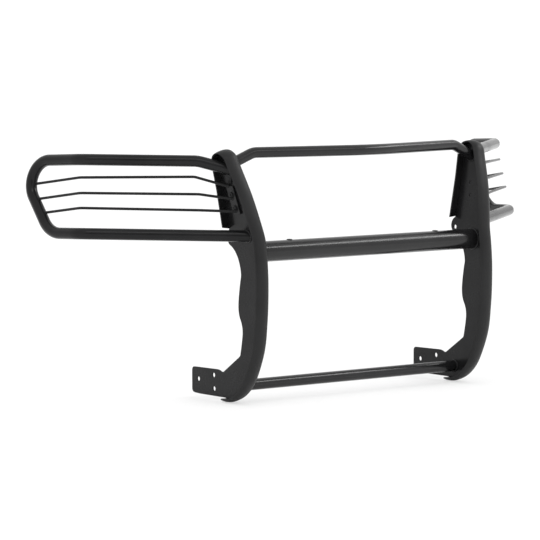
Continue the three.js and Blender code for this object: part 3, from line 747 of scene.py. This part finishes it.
# (x from the bracket's outboard face, radius, section): washer rim, dome, then hexagon socket
BOLT_HEAD = [
    (-0.1, 4.0, ROUND), (-0.1, 6.85, ROUND), (0.15, 7.0, ROUND), (1.1, 7.0, ROUND),
    (1.5, 6.9, ROUND), (2.4, 6.45, ROUND), (3.2, 5.7, ROUND), (3.8, 4.8, ROUND),
    (4.1, 4.0, ROUND), (4.2, 3.45, ROUND), (4.15, 3.1, ROUND), (3.9, 2.75, HEX),
    (1.7, 2.75, HEX), (1.3, 1.6, ROUND), (1.1, 0.3, ROUND)]


def turned(profile, sides):
    """Solid turned about X from rows of (x, radius, section)."""
    angle = full_turn(sides)
    hexagon = math.cos(math.pi / 6) / np.cos((angle + math.pi / 6) % (math.pi / 3) - math.pi / 6)
    rings = []
    for x, radius, is_hex in profile:
        radii = radius * (hexagon if is_hex else np.ones(sides))
        rings.append(np.stack([np.full(sides, x), radii * np.cos(angle),
                               radii * np.sin(angle)], 1))
    return loft(rings)


def bolt_skin():
    profile = [(-1.2, 0.4, ROUND), (-1.2, 3.1, ROUND), (-0.7, 3.9, ROUND)]
    for thread in range(2):
        x = -0.6 + 1.25 * thread
        profile += [(x, 4.0, ROUND), (x + 0.35, 4.0, ROUND),
                    (x + 0.7, 3.5, ROUND), (x + 0.95, 3.5, ROUND)]
    profile.append((2.4, 4.0, ROUND))
    profile += [(BRACKET_FACE + x, radius, section) for x, radius, section in BOLT_HEAD]
    return turned(profile, 48)


def on_riser(verts, y, z):
    """Moves a part modelled about X to a place on the riser above the bend, with its tilt."""
    tilt = np.array(Matrix.Rotation(BEND_ANGLE, 3, "Y"))
    return verts @ tilt.T + bend([(0.0, y, flat_z(z))])[0]


bolt_verts, bolt_faces = bolt_skin()
for label, (y, z), spin in (("upper", BOLTS[0], 0.3), ("lower", BOLTS[1], 0.75)):
    spun = bolt_verts @ np.array(Matrix.Rotation(spin, 3, "X")).T
    add_pair(f"bracket_bolt_{label}", (on_riser(spun, y, z), bolt_faces), BOLT_COAT,
             slot="fastener", sharp=32)


# ------------------------------------------------------------------ wings
# (x, y, z) corners of the wing tube's centre line, from its upper end round to its lower end
WING_CORNERS = [(464.3, 53, 659), (529.8, 105.9, 680.9), (793.2, 317.5, 685),
                (841.1, 572.4, 672), (843.8, 400.2, 470.7), (820.8, 277.8, 475.4),
                (429.8, 4.5, 466.5)]
WING_RADII = [95, 66, 67.5, 85.4, 66]
# (corners, bend radii) of each rod, from the bracket outboard to the wing tube
RODS = {
    "upper": ([(455.8, 49.2, 606.8), (537.3, 111.1, 635.8), (800.8, 306.7, 634.3),
               (837.2, 499.6, 606.5)], [45, 22]),
    "middle": ([(449.8, 38.3, 571.8), (530.9, 98.5, 586.2), (806.8, 298.2, 590.3),
                (840.4, 476.5, 564.4)], [45, 22]),
    "lower": ([(442.8, 28.6, 536.5), (532.9, 91.9, 540.6), (812.6, 290, 548),
               (842.7, 449.9, 525.2)], [60, 22]),
}
# radius of the cut under the top arc, by degrees up from the rear
COPE_DEGREES = [0, 15, 30, 45, 60, 75, 90, 110, 180]
COPE_RADII = [35.0, 35.0, 34.8, 34.4, 33.4, 32.2, 31.2, 30.4, 30.4]


def strip_cope():
    """The space behind the rear leg and over the top arc, cut out of the upper wing tube's end."""
    front, back, low, high = -20, 150, 470, 790
    leg_y = REAR_Y - 4.9
    profile = [(leg_y, low), (leg_y, LEG_FLAT_Z)]
    for degrees in range(0, 181, 6):
        radius = np.interp(degrees, COPE_DEGREES, COPE_RADII)
        a = math.radians(degrees)
        profile.append((TOP_Y + radius * math.cos(a), TOP_FLAT_Z + radius * math.sin(a)))
    profile += [(front, TOP_FLAT_Z), (front, high), (back, high), (back, low)]
    verts, faces = loft([np.array([(x, y, z) for y, z in profile])
                         for x in (-30.0, LEG_HALF_W - 0.4)])
    return bend(verts), faces


def difference(body, cutter):
    """One closed skin minus another, with Blender's exact boolean."""
    solids = []
    for name, (verts, faces) in (("body", body), ("cutter", cutter)):
        mesh = bpy.data.meshes.new(name)
        mesh.from_pydata([tuple(point) for point in verts], [], faces)
        bm = bmesh.new()
        bm.from_mesh(mesh)
        bmesh.ops.triangulate(bm, faces=[face for face in bm.faces if len(face.verts) > 4])
        bmesh.ops.recalc_face_normals(bm, faces=bm.faces)
        bm.to_mesh(mesh)
        bm.free()
        solid = bpy.data.objects.new(name, mesh)
        bpy.context.scene.collection.objects.link(solid)
        solids.append(solid)
    cut = solids[0].modifiers.new("cut", "BOOLEAN")
    cut.operation = "DIFFERENCE"
    cut.solver = "EXACT"
    cut.object = solids[1]
    bpy.context.view_layer.update()
    depsgraph = bpy.context.evaluated_depsgraph_get()
    result = bpy.data.meshes.new_from_object(solids[0].evaluated_get(depsgraph))
    verts = np.array([vert.co[:] for vert in result.vertices])
    faces = [tuple(face.vertices) for face in result.polygons]
    for solid in solids:
        bpy.data.objects.remove(solid)
    bpy.data.meshes.remove(result)
    return verts, faces


wing_path = bent_path(WING_CORNERS, WING_RADII, step=2.5)
wing_end = at_plate(PLATE_T / 2 - SINK)
wing_tube = tube(wing_path, TUBE_OD, wall=2.6, sides=48, start=wing_end, end=wing_end)
add_pair("wing_loop", difference(wing_tube, strip_cope()), WING_COAT)


def dense_line(points):
    """The same line with points at least every 2 mm."""
    dense = []
    for a, b in zip(points[:-1], points[1:]):
        count = max(1, int(np.linalg.norm(b - a)))
        dense += [a + (b - a) * k / count for k in range(count)]
    return np.array(dense)


WING_LINE = dense_line(wing_path[0])


def inside_wing(point):
    gaps = np.linalg.norm(WING_LINE - point, axis=1)
    nearest = int(np.argmin(gaps))
    best = gaps[nearest]
    for j in (nearest - 1, nearest):
        if 0 <= j < len(WING_LINE) - 1:
            a, b = WING_LINE[j], WING_LINE[j + 1]
            t = np.clip((point - a) @ (b - a) / ((b - a) @ (b - a)), 0, 1)
            best = min(best, np.linalg.norm(point - a - t * (b - a)))
    return best <= TUBE_OD / 2


def back_to_surface(point, direction):
    """Walks back from inside the wing tube to its outer surface."""
    outside = next(k * 0.5 for k in range(90) if not inside_wing(point - direction * k * 0.5))
    inside = max(0.0, outside - 0.5)
    for _ in range(12):
        middle = (inside + outside) / 2
        if inside_wing(point - direction * middle):
            inside = middle
        else:
            outside = middle
    return point - direction * outside


weld_parts = []
for label, (corners, radii) in RODS.items():
    path = bent_path(corners, radii, step=3)
    heading = path[1][-1]
    rings = circle_rings(path, ROD_D / 2, 28)
    rings[0] = slide(rings[0], path[1][0], at_plate(BRACKET_FACE - SINK))
    add_pair(f"wing_rod_{label}", loft(rings), WING_COAT)
    # fillets round the rod at the bracket and at the wing tube
    weld_parts.append(end_bead(path, 0, ROD_D / 2 + 0.2, 40, at_plate(BRACKET_FACE + 0.1),
                               bead_radius=1.5, phase=0.3))
    contact = [back_to_surface(point, heading)
               for point in end_ring(path, -1, ROD_D / 2 + 0.1, 40)]
    weld_parts.append(bead(contact, 1.4, phase=0.6))


# ------------------------------------------------------------------ crossbars
def add_crossbar(name, path, diameter, wall, sides, bead_points, bead_radius, phase):
    """A tube between the plates' inboard faces, and the weld bead at its right end."""
    skin = tube(path, diameter, wall, sides, start=at_plate(-PLATE_T / 2 + SINK, side=-1),
                end=at_plate(-PLATE_T / 2 + SINK))
    add_piece(name + "_skin", skin, CROSSBAR_COAT, (name,))
    weld_parts.append(end_bead(path, -1, diameter / 2 + BEAD_LIFT, bead_points,
                               at_plate(-PLATE_T / 2 - BEAD_LIFT), bead_radius, phase))


def straight_path(y, z):
    xs = np.linspace(-PLATE_X, PLATE_X, 41)
    return np.array([(x, y, z) for x in xs]), np.array([(1.0, 0, 0)] * len(xs))


top_half = [(478, 55, 660.5), (380, 41, 703.4)]
top_corners = [(-x, y, z) for x, y, z in top_half] + [(0, -45, 703.4)] + top_half[::-1]
add_crossbar("top_crossbar", bent_path(top_corners, [60, 480, 60], step=1.2), TOP_OD,
             wall=2.4, sides=48, bead_points=72, bead_radius=2.7, phase=0.1)
add_crossbar("centre_crossbar", straight_path(MAIN_Y, MAIN_Z), MAIN_OD,
             wall=3.0, sides=64, bead_points=96, bead_radius=3.0, phase=0.4)
add_crossbar("lower_crossbar", straight_path(LOW_Y, LOW_Z), TUBE_OD,
             wall=2.6, sides=48, bead_points=96, bead_radius=3.0, phase=0.4)


# ------------------------------------------------------------------ other welds
def stitch_welds():
    """Short beads on both faces of the plate, along the inside of the edge strip."""
    spacing, length = 106.0, 34
    line = np.array([point + inward(tangent) * (STRIP_T + 0.2)
                     for point, tangent, _ in STATIONS if not (point[1] < 20 and point[0] > 92)])
    cumulative = travelled(line)
    beads = []
    for start in np.arange(60, 700, spacing):
        y, z = resample(line, cumulative, np.linspace(start, start + length, 24)).T
        for side in (-1, 1):
            x = np.full(len(y), side * (PLATE_T / 2 + 0.4))
            beads.append(bead(bend(np.stack([x, y, z], 1)), 2.3, phase=start * 0.01,
                              closed=False))
    return beads


# both ends of the wing tube, at the plate
for index in (0, -1):
    weld_parts.append(end_bead(wing_path, index, TUBE_OD / 2 + BEAD_LIFT, 72,
                               at_plate(PLATE_T / 2 + BEAD_LIFT), bead_radius=2.6, phase=0.7))
weld_parts += stitch_welds()
add_pair("weld_beads", merge(weld_parts), WELD_COAT, in_cad=False, sharp=60)

# ------------------------------------------------------------------ lamp hole plugs
LAMP_HOLE_X = 276.0
# (height above the centre crossbar's top, radius): body in the hole, then the domed cap
PLUG_PROFILE = [(-8, 0.3), (-8, 5.0), (-6.5, 6.0), (-1.5, 6.0), (-1.4, 8.3), (-1.0, 8.5),
                (0.6, 8.5), (1.2, 8.2), (1.8, 7.2), (2.1, 5.5), (2.2, 3.0), (2.2, 0.3)]

plug_verts, plug_faces = turned([(*row, ROUND) for row in PLUG_PROFILE], 40)
# stand the turning axis upright on the crossbar
plug_verts = plug_verts[:, [1, 2, 0]] + (LAMP_HOLE_X, MAIN_Y, MAIN_Z + MAIN_OD / 2)
add_pair("lamp_hole_plug", (plug_verts, plug_faces), PLUG_COAT, slot="plug")

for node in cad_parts.values():
    if not node.hide_render:
        node.data.materials.clear()
        node.data.materials.append(POWDER)

# ------------------------------------------------------------------ studio
scene = bpy.context.scene


def floor_material():
    """Pale to the light, but seen by the camera as just reaching white with a trace of shadow."""
    material, tree, bsdf = new_material("studio_floor")
    coord = add_node(tree, "TexCoord").outputs["Object"]
    pale = mix_color(tree, noise(tree, coord, scale=1.3),
                     rgba((0.90, 0.90, 0.90)), rgba((0.93, 0.93, 0.93)))
    seen = add_node(tree, "LightPath").outputs["Is Camera Ray"]
    set_inputs(tree, bsdf, {
        "Base Color": mix_color(tree, seen, pale, rgba((0.30, 0.30, 0.30))),
        "Emission Color": (1, 1, 1, 1),
        "Emission Strength": calc(tree, "MULTIPLY", seen, 0.56),
        "Roughness": 0.9,
        "Specular IOR Level": 0.1})
    return material


def add_floor(radius=160.0, sides=128):
    """Disc in metres, just under the product."""
    mesh = bpy.data.meshes.new("studio_floor")
    rim = [(radius * math.cos(a), radius * math.sin(a), 0.0) for a in full_turn(sides)]
    mesh.from_pydata(rim, [], [tuple(range(sides))])
    floor = bpy.data.objects.new("studio_floor", mesh)
    scene.collection.objects.link(floor)
    mesh.materials.append(floor_material())
    floor.location.z = -0.0006


def add_world():
    """White surroundings; glossy rays see them dimmer, with a dark patch behind the camera."""
    world = bpy.data.worlds.new("studio")
    scene.world = world
    world.use_nodes = True
    tree = world.node_tree
    background = tree.nodes["Background"]
    # this strength counts only if the link made below is removed
    set_inputs(tree, background, {"Color": (1, 1, 1, 1), "Strength": 1.25})
    direction = add_node(tree, "TexCoord").outputs["Generated"]
    to_camera = (-0.6056, -0.7910, 0.0877)
    dot = add_node(tree, "VectorMath", {0: direction, 1: to_camera}, operation="DOT_PRODUCT")
    patch = remap(tree, dot.outputs["Value"], target=(0.0, 0.72),
                  source=(math.cos(math.radians(24)), math.cos(math.radians(7))))
    glossy = add_node(tree, "LightPath").outputs["Is Glossy Ray"]
    dim = calc(tree, "SUBTRACT", 1.0, calc(tree, "MULTIPLY", patch, glossy))
    level = calc(tree, "SUBTRACT", 1.7, calc(tree, "MULTIPLY", glossy, 0.5))
    set_inputs(tree, background, {"Strength": calc(tree, "MULTIPLY", dim, level)})


def add_softbox(name, direction, width, power):
    """Strip light 5 m out in this direction, facing the product (m, W)."""
    distance, height, target = 5.0, 0.7, Vector((0, 0, 0.4))
    light = bpy.data.lights.new(name, "AREA")
    light.shape = "RECTANGLE"
    light.size, light.size_y = width, height
    light.energy = power
    softbox = bpy.data.objects.new(name, light)
    scene.collection.objects.link(softbox)
    away = Vector(direction).normalized()
    softbox.location = target + away * distance
    softbox.rotation_mode = "QUATERNION"
    softbox.rotation_quaternion = away.to_track_quat("Z", "Y")
    softbox.visible_diffuse = False


def add_camera():
    """Looks rearwards and to +X, slightly down, from the front left."""
    azimuth, elevation = math.radians(37.4384651), math.radians(5.0304813)
    distance = 9532.4793
    shift_right, shift_up = -277.7396, 345.2887
    view = Vector((math.sin(azimuth) * math.cos(elevation),
                   math.cos(azimuth) * math.cos(elevation), -math.sin(elevation)))
    right = Vector((math.cos(azimuth), -math.sin(azimuth), 0.0))
    up = right.cross(view)
    place = shift_right * right + shift_up * up - distance * view
    data = bpy.data.cameras.new("camera")
    camera = bpy.data.objects.new("camera", data)
    scene.collection.objects.link(camera)
    camera.location = (place + Vector((0, OFFSET_Y, OFFSET_Z))) / 1000
    camera.rotation_mode = "QUATERNION"
    camera.rotation_quaternion = Matrix((right, up, -view)).transposed().to_quaternion()
    data.sensor_fit = "HORIZONTAL"
    data.sensor_width = 36.0
    data.lens = 214.8135733
    data.clip_start, data.clip_end = 0.1, 600.0
    scene.camera = camera


add_floor()
add_world()
add_softbox("key_softbox", direction=(0.74, -0.40, 0.65), width=3.0, power=68.0)
add_softbox("front_softbox", direction=(0.20, -0.75, 0.62), width=2.0, power=11.0)
add_softbox("fill_softbox", direction=(-0.47, -0.53, 0.71), width=2.0, power=19.0)
add_camera()
scene.view_settings.view_transform = "Standard"
scene.view_settings.look = "None"
scene.view_settings.exposure = 0.0
scene.view_settings.gamma = 1.0

bpy.context.view_layer.update()
